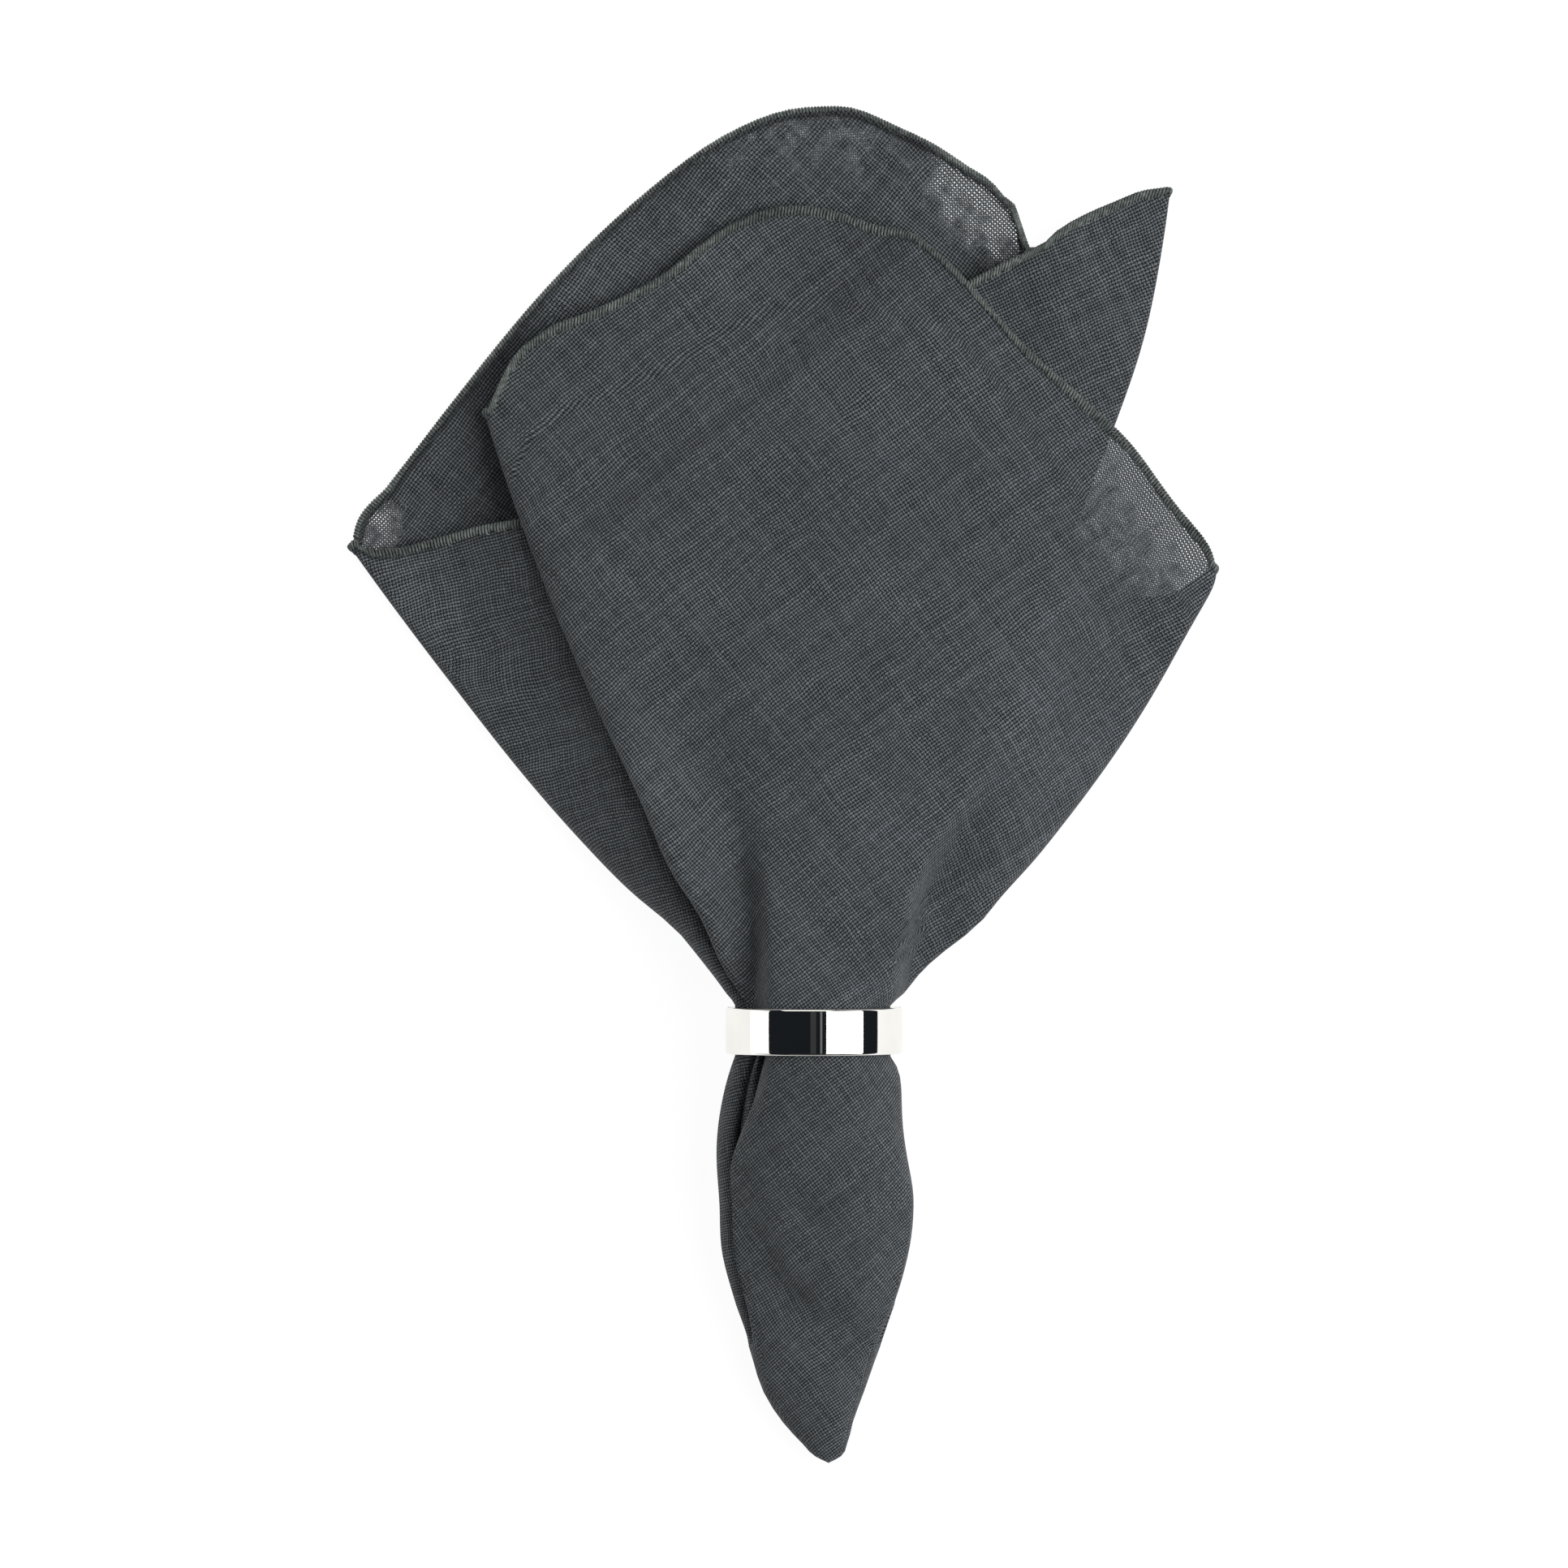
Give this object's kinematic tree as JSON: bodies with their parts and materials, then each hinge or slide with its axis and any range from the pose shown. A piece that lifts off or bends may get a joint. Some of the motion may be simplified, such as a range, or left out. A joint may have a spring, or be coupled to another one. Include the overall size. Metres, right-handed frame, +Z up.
{
  "type": "cloth napkin in a ring",
  "caption": "Square linen napkin held by its middle in a flat metal band, fanned out flat above it in loose folds and tapering to a soft rounded tail below.",
  "frame": {"origin": "on the table, under the middle of the whole object's box", "axes": "+Y along the ring's axis from the tail towards the fan, +X to the right seen from above, +Z up off the table"},
  "size_m": [0.2138, 0.3352, 0.0436],
  "materials": {
    "linen": "loose plain weave of slubby slate grey linen, matt, slightly see-through in one layer",
    "metal": "polished nickel plate"
  },
  "bodies": {
    "root": {"napkin": "linen", "ring": "metal"}
  },
  "joints": []
}
